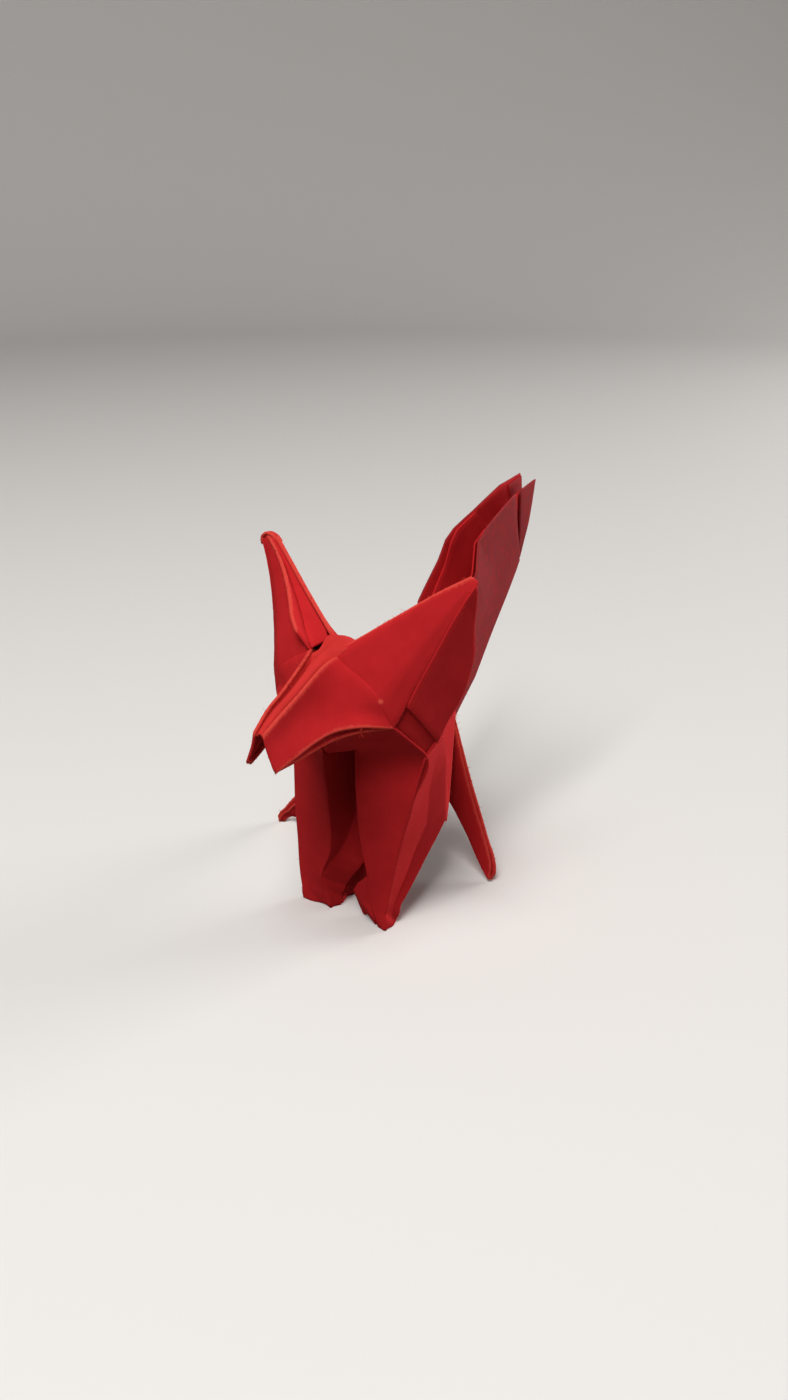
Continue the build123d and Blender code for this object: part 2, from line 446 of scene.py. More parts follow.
def sheet_object(name: str, panels: Sequence[Panel]) -> bpy.types.Object:
    """Joins the slabs of all panels into one object in the part's frame.

    Args:
        name: name of the object.
        panels: panels of the sheet.

    Returns:
        The object, at the origin, with the point attributes inset (mm), haze_shade and rub.
    """
    slabs = [thicken(panel) for panel in panels]
    slabs.append(Fibres().slab(slabs))
    starts = np.cumsum([0] + [len(slab.points) for slab in slabs[:-1]])
    points = (np.concatenate([slab.points for slab in slabs]) + PART_SHIFT) * MM
    quads = np.concatenate([slab.quads + start for slab, start in zip(slabs, starts)])
    mesh = bpy.data.meshes.new(name)
    mesh.from_pydata(points, [], quads)
    mesh.polygons.foreach_set("use_smooth", np.ones(len(quads), dtype=bool))
    for label in ("inset", "haze_shade", "rub"):
        values = np.concatenate([getattr(slab, label) for slab in slabs]).astype(np.float32)
        mesh.attributes.new(label, "FLOAT", "POINT").data.foreach_set("value", values)
    mesh.validate()
    mesh.update()
    sheet = bpy.data.objects.new(name, mesh)
    bpy.context.scene.collection.objects.link(sheet)
    return sheet


@dataclass
class HeadHalf:
    """Half of the head: the face with its doubled jaw, and the ear cone.

    Attributes:
        side: which half.
        ear_bow: how far the middle of the ear's front is bowed, in mm, as on the left half.
        crown: where the ear's rear rim meets the crown.
        brow: inner end of the ear's front edge.
        rim_sag: how far the ear's rear rim sags in its middle, in mm.
        lined: whether an inner layer closes the cone just below its rims.
        tips: outer and inner end of the front at the tip, and the rear's tip.
        cap: folded-over end that arches over the tip, or none.
        wall: thickness of the doubled layers in mm.
        rear_wall: thickness of the ear's rear in mm.
        thin: thickness of the single layers in mm.
        ridge: upper line of the face, from the nose to the brow.
        face: line along the middle of the face, which ends at the dimple.
        hollow: how deep the face is sunk above the jaw at each station, in mm.
        hollow_way: direction in which it is sunk.
        hollow_at: where it is sunk, as a share of the way from the middle of the face to the jaw.
        jaw: lower line of the face.
        outer_rim: outer edge of the ear and cheek, from the tip down to the shoulder.
        fold_end: lower end of the fold between the ear's front and side.
        hem_top: upper edge of the hem that shows below the ear's side.
        hem_low: lower edge of that hem.
        under_swell: part of a half sine wave that the layer under the jaw follows.
        under_drop: how far that layer hangs below the jaw, in mm.
        under_set: how far it is set in from the jaw.
        lid_set: how much further its upper edge is set in where it hangs lowest, as a share.
        lid_rise: how far its upper edge lies above the jaw at its ends, in mm.
        lid_sag: how much lower its upper edge lies where it hangs lowest, in mm.
        layer_gap: distance between the side and the hem, in mm.
        flat_share: share of the ear's front, from its root, that isn't bowed.
        front_rails: rails of the ear's front.
        rear_at: stations of the ear's rear, as shares of the way from the crown to the neck.
        rear_sag: share of the sag at each of them.
        lining_at: stations of the lining, as shares of the way from the tip down to the brow.
        lining_rear: how far the lining is set in from the rear rim.
        lining_front: how far it is set in from the front edge.
        lining_low: its lowest corners, at the rear and at the front.
        lining_root: where its front edge aims, as a share of the way from the brow to the ridge's end.
        cap_front: how far the cap reaches to the front.
        cap_rear: how far it reaches to the rear.
        cap_cell: size of its mesh's cells in mm.
    """

    side: Side
    ear_bow: Corner = (-0.25, 0.0, 0.0)
    crown: Corner = (1.2, -1.9, 31.2)
    brow: Corner = (2.26, -3.31, 32.26)
    rim_sag: float = 1.0
    lined: bool = False
    rear_wall: float = 0.272
    tips: Rail = ((11.4, 1.9, 38.25), (10.9, 1.85, 38.6), (10.95, 2.0, 38.4))
    cap: Rail = ()
    wall: float = 0.34
    thin: float = 0.22
    ridge: Rail = (
        (0.5, -13.2, 27.3), (0.76, -11.0, 28.5), (0.81, -9.0, 29.28), (0.93, -6.8, 30.3),
        (1.12, -5.3, 30.9), (1.45, -4.2, 31.15),
    )
    face: Rail = (
        (0.9, -13.2, 25.75), (1.22, -11.0, 26.7), (1.5, -8.95, 27.33), (2.0, -6.85, 27.68),
        (3.1, -4.9, 27.68), (5.55, -3.6, 27.9),
    )
    hollow: tuple[float, ...] = (0.0, 0.0, 0.05, 0.1, 0.18, 0.1)
    hollow_way: Corner = (-0.55, 0.73, -0.4)
    hollow_at: float = 0.6
    jaw: Rail = (
        (1.5, -13.2, 24.2), (2.05, -11.0, 24.95), (2.62, -9.0, 25.6), (3.3, -7.05, 25.87),
        (4.6, -5.1, 25.8), (6.5, -3.1, 25.4),
    )
    outer_rim: Rail = (
        (11.15, 1.9, 38.5), (10.9, 2.5, 34.6), (10.66, 3.06, 31.1), (10.38, 2.95, 29.6),
        (9.97, 2.7, 27.65), (9.6, 2.38, 26.4), (9.0, 1.72, 24.8), (8.4, 1.1, 22.8),
    )
    fold_end: Corner = (7.36, -2.13, 27.34)
    hem_top: Rail = ((7.5, -2.0, 28.4), (8.3, -0.2, 26.6), (8.9, 1.6, 24.4))
    hem_low: Rail = ((6.6, -2.95, 25.5), (7.15, -1.5, 23.9), (7.66, 0.11, 21.44))
    under_swell: tuple[float, float] = (0.02, 0.97)
    under_drop: float = 0.95
    under_set: Corner = (-0.16, 0.12, 0.0)
    lid_set: float = 1.4
    lid_rise: float = 0.3
    lid_sag: float = 0.4
    layer_gap: float = 0.2
    flat_share: float = 0.15
    front_rails: int = 8
    rear_at: tuple[float, ...] = (0.0, 0.3, 0.65, 1.0)
    rear_sag: tuple[float, ...] = (1.0, 0.6, 0.3, 0.0)
    lining_at: tuple[float, ...] = (0.0, 0.35, 0.7, 0.97)
    lining_rear: Corner = (0.36, -0.26, 0.0)
    lining_front: Corner = (0.0, 0.3, -0.25)
    lining_low: Rail = ((1.1, -2.42, 31.7), (1.75, -3.88, 31.25))
    lining_root: float = 0.8
    cap_front: Corner = (0.0, -0.2, 0.0)
    cap_rear: Corner = (0.0, 0.3, -0.1)
    cap_cell: float = 0.2

    def face_panels(self) -> list[Panel]:
        """Builds the face, whose rails curve from the ridge over the hollow to the jaw.

        The layer under the jaw hangs below it by a half sine wave of the way along the jaw.

        Returns:
            The face and the second layer that shows under the jaw.
        """
        ridge, face, jaw = (self.side.put(*rail) for rail in (self.ridge, self.face, self.jaw))
        inward, hollow_way = self.side.put(self.under_set, self.hollow_way)
        sunk = between(face, jaw, self.hollow_at) + np.array(self.hollow)[:, None] * hollow_way
        swell = np.sin(np.linspace(*self.under_swell, len(jaw)) * math.pi)[:, None]
        lid = jaw + inward * (1.0 + self.lid_set * swell) + UP * (self.lid_rise - self.lid_sag * swell)
        under = np.stack([lid, jaw + inward - UP * (self.under_drop * swell)])
        return [
            Panel(np.stack([ridge, face, sunk, jaw]), self.wall, 0.0, (1, 1, 0.6, 0.3), soft=True),
            Panel(under, self.wall, 0.0, (0, 1, 0.4, 0.4), soft=True),
        ]

    def ear_panels(self) -> list[Panel]:
        """Builds the ear cone: its front runs on from the face, and its side and rear meet at the outer rim.

        The front's rails go in even steps from the root to the tip and are bowed by a parabola.

        Returns:
            The front, the side and the hem below it, the rear, the nape, the gusset at the shoulder and,
            where there are any, the lining and the cap.
        """
        put = self.side.put
        brow, neck, crown, shoulder = put(self.brow, FOLDS.neck, self.crown, FOLDS.shoulder)
        outer_tip, inner_tip, rear_tip = put(*self.tips)
        bow, fold_end = put(self.ear_bow, self.fold_end)
        root = np.array([brow, *put(self.ridge[-1], self.face[-1], self.jaw[-1])])
        ends = between(inner_tip, outer_tip, np.linspace(0, 1, len(root))[:, None])
        steps = np.linspace(0, 1, self.front_rails)[:, None, None]
        bowed = np.clip((steps - self.flat_share) / (1 - self.flat_share), 0, 1)
        front = between(root, ends, steps) + bow * hump(bowed)
        rim = put(*self.outer_rim)
        rim[0] = outer_tip
        reach = np.linspace(0, 1, len(rim))[:, None]
        fold = between(outer_tip, fold_end, reach) + bow * hump(reach)
        outside = put((self.layer_gap, -self.layer_gap, 0.0))[0] / 2
        side = np.stack([fold, between(fold, rim, 0.5), rim]) + outside
        hem = np.stack([put(*self.hem_top), put(*self.hem_low)]) - outside
        back = between(crown, neck, np.array(self.rear_at)[:, None])
        top = rim[:len(back)].copy()
        top[0] = rear_tip
        middle = between(top, back, 0.5) - UP * (self.rim_sag * np.array(self.rear_sag)[:, None])
        panels = [
            Panel(front, self.wall, 0.0, (0.7, 0.6, 1, 0.7)),
            Panel(side, self.thin, 0.0, (0.3, 0.5, 0, 0.6)),
            Panel(hem, self.thin, 0.0, (0, 0.8, 0, 0)),
            Panel(np.stack([top, middle, back]), self.rear_wall, 0.0, (0.6, 0, 1, 0), soft=True),
            Panel(fan(rim[len(back) - 1:], neck), self.wall, 0.0, (1, 0, 0, 0)),
            Panel(fan(np.array([rim[-1], shoulder]), neck), self.thin, 0.0, (0, 0, 0, 0)),
        ]
        if self.lined:
            share = np.array(self.lining_at)[:, None]
            low = put(*self.lining_low)
            rear_rim = between(rear_tip, crown, share) + put(self.lining_rear)
            end = between(brow, root[1], self.lining_root)
            front_rim = between(inner_tip, end, share) + bow * hump(share) + put(self.lining_front)
            lining = np.stack([np.vstack([rear_rim, low[:1]]), np.vstack([front_rim, low[1:]])])
            panels.append(Panel(lining, self.wall, 0.0, (0.6, 0, 0, 0)))
        if self.cap:
            arch = put(*self.cap)
            over = np.stack([arch + self.cap_front, arch + self.cap_rear])
            panels.append(Panel(over, self.wall, soft=True, cell=self.cap_cell))
        return panels

    def panels(self) -> list[Panel]:
        """Returns the panels of this half of the head."""
        return self.face_panels() + self.ear_panels()


# The right ear's tip is folded over, and an inner layer closes its cone.
RIGHT_HEAD = HeadHalf(
    Side.RIGHT,
    ear_bow=(-0.4, 0.27, 0.0),
    crown=(1.0, -1.9, 32.0),
    brow=(3.0, -4.3, 32.8),
    rim_sag=0.0,
    lined=True,
    rear_wall=0.408,
    tips=((11.6, 1.9, 37.9), (10.95, 1.8, 38.35), (10.2, 2.05, 38.3)),
    cap=((11.65, 1.9, 37.5), (11.6, 1.9, 38.1), (10.95, 1.9, 38.55), (10.3, 1.95, 38.35), (9.95, 2.0, 37.9)),
)


@dataclass
class Pleat:
    """Middle pleat of the head: a rounded band between two grooves that swells into a knot at the crown.

    Attributes:
        right: line along the ridge of the right half, from the nose to the neck.
        crest: line along the middle.
        left: line along the ridge of the left half.
        depth: depth of the grooves at each station, in mm.
        groove_at: where a groove lies, as a share of the way from its ridge to the crest.
        slope_at: where the band's slope lies, in the same way.
        slope_depth: depth of the slope, as a share of the groove's.
        rub: share of the paler edge colour on the band.
        cell: size of the mesh's cells in mm.
        wall: thickness in mm.
    """

    right: Rail = (
        (-0.48, -13.1, 27.2), (-0.74, -11.0, 28.42), (-0.79, -9.0, 29.2), (-0.9, -6.9, 30.18),
        (-1.08, -5.4, 30.8), (-1.2, -4.4, 30.9), (-0.95, -3.6, 31.1), (-0.95, -2.6, 31.85),
        (-1.2, -1.2, 31.4), (-0.9, 2.0, 28.45),
    )
    crest: Rail = (
        (0.0, -13.1, 27.3), (0.0, -11.0, 28.48), (0.0, -9.0, 29.2), (0.0, -6.9, 30.1), (0.0, -5.4, 30.78),
        (0.1, -4.4, 31.25), (0.4, -3.6, 31.75), (0.5, -2.7, 32.2), (0.3, -1.2, 31.7), (0.0, 2.0, 28.65),
    )
    left: Rail = (
        (0.48, -13.1, 27.2), (0.74, -11.0, 28.42), (0.79, -9.0, 29.2), (0.9, -6.9, 30.18),
        (1.08, -5.4, 30.8), (1.45, -4.25, 31.15), (1.9, -3.9, 31.75), (2.3, -3.3, 32.1),
        (1.9, -1.3, 31.2), (0.9, 2.0, 28.45),
    )
    depth: tuple[float, ...] = (0.2, 0.7, 0.95, 0.95, 0.75, 0.3, 0.08, -0.08, 0.0, 0.0)
    groove_at: float = 0.36
    slope_at: float = 0.66
    slope_depth: float = 0.15
    rub: float = 0.18
    cell: float = 0.14
    wall: float = 0.22

    def panels(self) -> list[Panel]:
        """Builds the band: its section curves from ridge to ridge through both grooves and over the crest.

        Returns:
            The band.
        """
        right, crest, left = (np.array(rail) for rail in (self.right, self.crest, self.left))
        down = np.array(self.depth)[:, None] * UP
        places = ((self.groove_at, 1.0), (self.slope_at, self.slope_depth))
        up_right, up_left = (
            [between(ridge, crest, share) - down * deep for share, deep in places] for ridge in (right, left)
        )
        rails = np.stack([right, *up_right, crest, *up_left[::-1], left])
        return [Panel(rails, self.wall, 0.0, (0, 0, 0, 0), soft=True, rub=self.rub, cell=self.cell)]


@dataclass
class FrontLeg:
    """Front leg: a tapered tube of front, side and recess wall, open at the back.

    Attributes:
        side: which leg.
        inner: inner edge of the front, from the throat to the foot.
        outer: fold between front and side, from the cheek to the toe.
        deep: deep line of the recess, from its roof to the foot.
        rear: rear edge of the side, from the flank to the foot.
        crease: share of the way to the rear edge where the side is creased.
        crease_lift: how far the crease stands out, in mm.
        chest_at: where the front leaves the chest, as a share of the way to its second corner.
        wall: thickness in mm.
        cell: size of the mesh's cells in mm, on the front and the side.
        recess_cell: the same in the recess.
    """

    side: Side
    inner: Rail
    outer: Rail
    deep: Rail
    rear: Rail
    crease: float = 0.5
    crease_lift: float = 0.3
    chest_at: float = 0.6
    wall: float = 0.28
    cell: float = 0.4
    recess_cell: float = 0.5

    def panels(self) -> list[Panel]:
        """Builds the leg between its four rails; the side's crease stands out by a half sine wave.

        Returns:
            The front, the side and the recess wall.
        """
        rails = (self.inner, self.outer, self.deep, self.rear)
        inner, outer, deep, rear = (self.side.put(*rail) for rail in rails)
        edge = stations(outer[1:], len(rear))
        out = self.side.put((self.crease_lift, 0.0, 0.0))
        crease = between(edge, rear, self.crease) + np.sin(np.linspace(0, math.pi, len(rear)))[:, None] * out
        front = np.stack([inner, outer])
        front = np.insert(front, 1, between(front[:, 0], front[:, 1], self.chest_at), axis=1)
        side = np.stack([edge, crease, rear])
        recess = np.stack([inner[-len(deep):], deep])
        return [
            Panel(front, self.wall, 0.0, (0.5, 0.5, 0, 0.8), soft=True, cell=self.cell),
            Panel(side, self.wall, 0.0, (0.5, 0.7, 0, 0.8), cell=self.cell),
            Panel(recess, self.wall, 0.0, (0.4, 0, 0, 0.8), soft=True, cell=self.recess_cell),
        ]


# The left foot is drawn in, and the right one stands wider.
LEFT_FRONT_LEG = FrontLeg(
    Side.LEFT,
    inner=(
        FOLDS.throat, (1.9, -2.4, 21.6), (1.6, -1.9, 16.0), (1.49, -1.4, 12.4), (1.75, -0.8, 7.2),
        (1.95, -0.2, 2.6), (2.7, 0.1, 0.1),
    ),
    outer=(
        FOLDS.cheek, FOLDS.shoulder, (6.4, 0.2, 16.0), (5.45, 0.15, 12.4), (4.2, 0.1, 7.2),
        (3.3, 0.0, 2.4), (3.46, -0.1, 0.1),
    ),
    deep=(
        FOLDS.recess_floor, (0.65, 3.6, 16.0), (0.7, 3.6, 12.0), (0.9, 3.6, 5.5), (1.0, 2.2, 1.0),
        (2.0, 2.0, 0.1),
    ),
    rear=(
        (6.1, 5.9, 20.2), (5.95, 6.7, 17.4), (5.85, 6.9, 14.5), (5.7, 7.4, 10.4), (5.2, 6.2, 8.2),
        (4.6, 3.9, 5.2), (3.95, 1.75, 2.4), (3.5, 1.6, 0.1),
    ),
    crease=0.6,
    crease_lift=-0.6,
)
RIGHT_FRONT_LEG = FrontLeg(
    Side.RIGHT,
    inner=(
        FOLDS.throat, (1.95, -2.4, 19.7), (1.9, -1.9, 14.5), (2.35, -1.2, 8.1), (3.94, -0.72, 3.8),
        (3.46, -0.14, 0.1),
    ),
    outer=(
        FOLDS.cheek, (7.75, 0.3, 21.3), (7.58, 0.1, 14.5), (7.38, 0.0, 8.1), (7.34, 0.0, 3.8),
        (6.7, -0.3, 0.1),
    ),
    deep=(FOLDS.recess_floor, (0.8, 3.6, 14.5), (0.9, 3.6, 8.5), (2.0, 3.5, 3.4), (3.0, 3.3, 0.1)),
    rear=(
        (6.1, 5.8, 20.1), (5.8, 6.7, 15.0), (5.6, 7.6, 9.9), (4.8, 6.0, 6.0), (3.8, 4.4, 2.6),
        (3.3, 3.4, 0.1),
    ),
)


@dataclass
class InnerFolds:
    """Layers between the front feet: the flap of the left foot and the turned-in end of the right one.

    Attributes:
        left_near: edge of the left flap along the leg.
        left_crease: crease of the left flap.
        left_far: free edge of the left flap.
        turn: line where the turned-in end leaves the recess wall and the right foot.
        slit: lower edge of the turned-in end.
        end_top: upper edge of the layer behind the slit.
        end_low: lower edge of that layer.
        end_bulge: height of that layer's crown in mm.
        wall: thickness in mm.
        cell: size of the mesh's cells in mm.
    """

    left_near: Rail = ((1.8, -0.55, 6.0), (1.9, -0.2, 3.4), (1.95, -0.1, 1.4), (2.3, 0.15, 0.1))
    left_crease: Rail = ((1.66, -0.6, 5.66), (1.26, -0.45, 4.2), (0.75, -0.2, 2.34), (0.99, 0.25, 0.66))
    left_far: Rail = ((1.2, -0.2, 5.6), (0.0, 0.4, 4.2), (-1.05, 0.85, 2.6), (0.0, 0.8, 0.25))
    turn: Rail = (
        (-1.11, 1.68, 12.0), (-1.6, 0.7, 10.1), (-2.1, -0.1, 8.3), (-2.9, -0.75, 6.2), (-3.8, -0.7, 4.0),
        (-3.5, -0.2, 0.15),
    )
    slit: Rail = (
        (0.4, 1.6, 7.6), (-0.1, 1.25, 6.5), (-0.6, 1.0, 5.4), (-1.3, 1.0, 4.3), (-2.3, 1.0, 2.6),
        (-3.1, 0.7, 0.15),
    )
    end_top: Rail = ((1.5, 2.2, 8.5), (-0.6, 1.6, 5.3), (-2.2, 1.4, 2.6), (-3.2, 1.0, 0.15))
    end_low: Rail = ((1.5, 3.0, 3.0), (0.2, 3.2, 2.0), (-1.8, 3.2, 1.2), (-2.9, 3.1, 0.15))
    end_bulge: float = 0.1
    wall: float = 0.2
    cell: float = 0.35

    def panels(self) -> list[Panel]:
        """Builds the layers, each between its own rails.

        Returns:
            The flap, the turned-in end and the layer behind it.
        """
        flap = np.array([self.left_near, self.left_crease, self.left_far])
        turned, behind = np.array([self.turn, self.slit]), np.array([self.end_top, self.end_low])
        return [
            Panel(flap, self.wall, 0.0, (0.3, 0.7, 0.3, 0.7), cell=self.cell),
            Panel(turned, self.wall, 0.0, (0, 0.5, 0, 0.7), cell=self.cell),
            Panel(behind, self.wall, self.end_bulge, (0.3, 0.7, 0, 0.7), soft=True, cell=self.cell),
        ]


@dataclass
class Chest:
    """Band across the chest above the recess, and the recess's roof.

    Attributes:
        top: upper line of the band, from right to left.
        edge: lower edge of the band, which is the mouth of the recess.
        floor: rear line of the roof.
        lid: lines from right to left, front first, of the layer inside that closes the legs below the head.
        wall: thickness in mm.
    """

    top: Rail = ((-2.4, -4.9, 25.2), (2.4, -4.9, 25.2))
    edge: Rail = ((-2.3, -2.1, 19.75), (2.2, -2.1, 21.55))
    floor: Rail = ((-1.2, 3.6, 20.2), (1.2, 3.6, 21.0))
    lid: tuple[Rail, ...] = (
        ((-6.2, -2.7, 25.0), (-2.0, -2.7, 25.0), (2.0, -2.7, 25.0), (6.2, -2.7, 25.0)),
        ((-7.0, 0.4, 21.8), (-2.0, 0.4, 22.6), (2.0, 0.4, 22.6), (7.0, 0.4, 21.8)),
        ((-6.0, 3.0, 20.9), (-2.0, 3.0, 22.5), (2.0, 3.0, 22.5), (6.0, 3.0, 20.9)),
    )
    wall: float = 0.26

    def panels(self) -> list[Panel]:
        """Builds the layers, each straight between its rails.

        Returns:
            The band, the roof of the recess and the layer inside.
        """
        top, edge, floor = (np.array(rail) for rail in (self.top, self.edge, self.floor))
        return [
            Panel(np.stack([top, edge]), self.wall, 0.0, (0, 0.3, 0, 0)),
            Panel(np.stack([edge, floor]), self.wall, 0.0, (0, 0, 0, 0)),
            Panel(np.array(self.lid), self.wall, 0.0, (0, 0, 0, 0)),
        ]


@dataclass
class BackHalf:
    """Half of the back: roof, flank and keel pleat.

    Attributes:
        side: which half.
        tuck: how far the flank's front corner is tucked in behind the front leg.
        wall: thickness in mm.
    """

    side: Side
    tuck: Corner = (-0.3, 0.1, 0.0)
    wall: float = 0.26

    def panels(self) -> list[Panel]:
        """Builds the half between the shared folds; the flank and the gusset run out to a point at the rump.

        Returns:
            The roof, the flank, the pleat and the gusset that joins the tail to the hip.
        """
        put, f = self.side.put, FOLDS
        neck, rump, shoulder, flank, belly = put(f.neck, f.rump, f.shoulder, f.flank, f.belly)
        thigh, hip, keel_front, keel, tail_base = put(f.thigh, f.hip, f.keel_front, f.keel, f.tail_base)
        tucked = flank + put(self.tuck)[0]
        roof = np.array([[neck, rump], [shoulder, flank]])
        pleat = np.array([[neck, rump, hip], [keel_front, keel, tail_base]])
        return [
            Panel(roof, self.wall, 0.0, (1, 0.5, 0, 0.5)),
            Panel(fan(np.array([tucked, belly, thigh, hip]), rump), self.wall, 0.0, (1, 0, 0.5, 0.5)),
            Panel(pleat, self.wall, 0.0, (1, 0.3, 0, 0)),
            Panel(fan(np.array([hip, tail_base]), rump), self.wall, 0.0, (0, 0, 0.5, 0)),
        ]


@dataclass
class LeftHindLeg:
    """Left hind leg: two flat layers that are folded together along their lower edge, with a slit between.

    Attributes:
        rear_edge: outer edge of the rear layer, from the hip to the tip.
        front_edge: outer edge of the front layer.
        low_edge: lower edge, where the layers meet.
        overlap: how far the front layer's edge is drawn towards the rear one, as a share of the way.
        gap: distance of the front layer from the rear one.
        wall: thickness in mm.
    """

    rear_edge: Rail = (
        (0.92, 16.14, 17.27), (2.5, 15.55, 13.8), (3.9, 15.05, 10.9), (5.4, 14.55, 7.9),
        (7.1, 13.98, 4.4), (8.13, 13.66, 2.5), (8.49, 13.38, 0.93), (8.15, 13.2, 0.15),
    )
    front_edge: Rail = (
        (0.81, 16.0, 16.7), (2.24, 15.4, 13.05), (3.35, 14.95, 10.5), (4.9, 14.4, 7.2), (6.3, 13.95, 4.5),
        (7.1, 13.65, 2.6), (7.5, 13.45, 1.5), (7.85, 13.2, 0.3),
    )
    low_edge: Rail = (
        (-0.08, 15.47, 13.76), (0.3, 15.0, 11.0), (1.3, 14.5, 8.4), (2.8, 14.25, 6.6), (4.6, 13.9, 4.4),
        (6.2, 13.55, 2.1), (7.03, 13.34, 0.95), (7.75, 13.15, 0.15),
    )
    overlap: float = 0.4
    gap: Corner = (0.17, -0.26, 0.12)
    wall: float = 0.22

    def panels(self) -> list[Panel]:
        """Builds both layers, curved along their edges.

        Returns:
            The rear and the front layer.
        """
        rear, front, low = (np.array(rail) for rail in (self.rear_edge, self.front_edge, self.low_edge))
        near = np.stack([between(front, rear, self.overlap), low]) + self.gap
        return [
            Panel(np.stack([rear, low]), self.wall, 0.0, (1, 0.4, 0, 1), soft=True),
            Panel(near, self.wall, 0.0, (1, 0.5, 0, 0.8), soft=True),
        ]


@dataclass
class RightHindLeg:
    """Right hind leg: a wide V of two walls that stands out from the hip.

    Attributes:
        tip: end of the leg on the table, mirrored to the left half as the other corners are.
        haunch: upper front corner.
        hock: lower corner, where the walls meet.
        blunt: width of the rear wall's end in mm; the front wall's is half as wide.
        bulge: height of the walls' crowns in mm.
        wall: thickness in mm.
    """

    tip: Corner = (18.3, 9.7, 0.0)
    haunch: Corner = (2.74, 11.14, 17.5)
    hock: Corner = (1.0, 15.0, 9.5)
    blunt: float = 0.8
    bulge: float = 0.2
    wall: float = 0.24

    def panels(self) -> list[Panel]:
        """Builds the walls, which run out to blunt ends that stand on the table.

        Returns:
            The rear wall, the front wall and the lid between their tops.
        """
        tip, rump, haunch, hock = Side.RIGHT.put(self.tip, FOLDS.rump, self.haunch, self.hock)
        walls = (([rump, hock], self.blunt), ([hock, haunch], self.blunt / 2))
        nets = [fan(np.array(top), tip + UP * (width / 2), width) for top, width in walls]
        return [
            *(Panel(net, self.wall, self.bulge, (0, 1, 1, 1)) for net in nets),
            Panel(fan(np.array([rump, haunch]), hock), self.wall, 0.0, (0, 0, 0, 0)),
        ]


@dataclass
class TailHalf:
    """One wall of the tail, from the fold at the rear to the open front edge, with its lining.

    Attributes:
        side: which wall.
        front: front and top edge, from the rump upwards.
        rear: rear fold and rear edge, from the base upwards.
        hem: how far the lining's front edge is set back at each station, as a share of the way to the rear.
        lining_gap: distance of the lining from the wall, in mm.
        tip_front: front edge of the separate tip layer, from its top downwards, or none.
        tip_rear: rear edge of that layer.
        slit: whether the wall ends at that layer, with a strip behind the slit between them.
        slit_at: stations along the wall's end beside the slit, as shares of the way to the rear.
        slit_set: how far the strip is set back under the wall's end.
        slit_lap: how far it reaches under the tip layer at each station.
        slit_depth: distance of the strip from the wall, as a share of the lining's.
        lining_reach: how far the lining reaches, as a share of the way to the rear.
        raw: how many loose fibres stand on the wall's edges.
        haze_shade: share of the greyer, darker colour on the outer face, a painted sheen and painted shade.
        wall: thickness of the wall in mm.
        thin: thickness of the lining in mm.
    """

    side: Side
    front: Rail
    rear: Rail
    hem: tuple[float, ...]
    lining_gap: float
    tip_front: Rail = ()
    tip_rear: Rail = ()
    slit: bool = False
    slit_at: tuple[float, ...] = (0.04, 0.5, 0.9)
    slit_set: Corner = (0.0, -0.5, -0.2)
    slit_lap: Rail = ((0.0, 0.5, -0.3), (0.0, 0.4, -0.2), (0.0, -0.2, 0.3))
    slit_depth: float = 0.6
    lining_reach: float = 0.62
    raw: float = 1.0
    haze_shade: float = 0.85
    wall: float = 0.22
    thin: float = 0.16

    def panels(self) -> list[Panel]:
        """Builds the layers, each straight between its front and its rear line.

        Returns:
            The wall, its lining and, where there are any, its tip layer and the strip behind the slit.
        """
        front, rear = self.side.put(*self.front), self.side.put(*self.rear)
        inward = self.side.put((-self.lining_gap, 0.0, 0.0))[0]
        # The outer face gets the painted sheen and shade.
        haze_shade = (self.haze_shade, 0.0) if self.side is Side.LEFT else (0.0, self.haze_shade)
        near, far = front[:len(self.hem)], rear[:len(self.hem)]
        shares = (np.array(self.hem)[:, None], self.lining_reach)
        lining = np.stack([between(near, far, share) for share in shares]) + inward
        # The wall's borders get little of the paler edge colour, whose painted highlight its shaded rims
        # lack.
        panels = [
            Panel(np.stack([front, rear]), self.wall, 0.0, (0.25, 0.1, 0, 0.1), haze_shade=haze_shade, raw=self.raw),
            Panel(lining, self.thin, 0.0, (0.5, 0, 0, 0.3)),
        ]
        if self.tip_front:
            tip = np.stack([self.side.put(*self.tip_front), self.side.put(*self.tip_rear)])
            # The tip layer carries the painted sheen and shade on both faces.
            panels.append(Panel(tip, self.wall, 0.0, (0, 0.3, 0.4, 0), haze_shade=(self.haze_shade, self.haze_shade)))
            if self.slit:
                end = between(front[-1], rear[-1], np.array(self.slit_at)[:, None]) + self.slit_set
                strip = np.stack([end, tip[0] + self.slit_lap]) + inward * self.slit_depth
                panels.append(Panel(strip, self.thin, 0.0, (0, 0, 0, 0)))
        return panels


# The left wall ends at a slit before its tip layer, and the right one runs on to the tip.
LEFT_TAIL = TailHalf(
    Side.LEFT,
    front=(
        FOLDS.rump, (2.8, 15.0, 29.0), (2.5, 17.5, 32.6), (1.9, 18.75, 35.3), (1.79, 20.7, 36.4),
        (1.6, 23.9, 37.4), (1.38, 27.0, 38.17),
    ),
    rear=(
        FOLDS.tail_base, (0.0, 22.3, 18.6), (0.0, 25.6, 22.5), (0.0, 28.4, 26.0), (0.0, 30.1, 28.0),
        (0.0, 30.9, 28.9), (0.04, 31.3, 29.5),
    ),
    hem=(0.0, 0.0, 0.01, 0.03, 0.06),
    lining_gap=0.5,
    raw=8.0,
    slit=True,
    tip_front=((1.15, 28.6, 38.2), (0.5, 30.1, 33.7), (-0.1, 31.25, 29.6)),
    tip_rear=((0.9, 32.3, 38.5), (0.45, 31.95, 33.7), (0.06, 31.35, 30.0)),
)
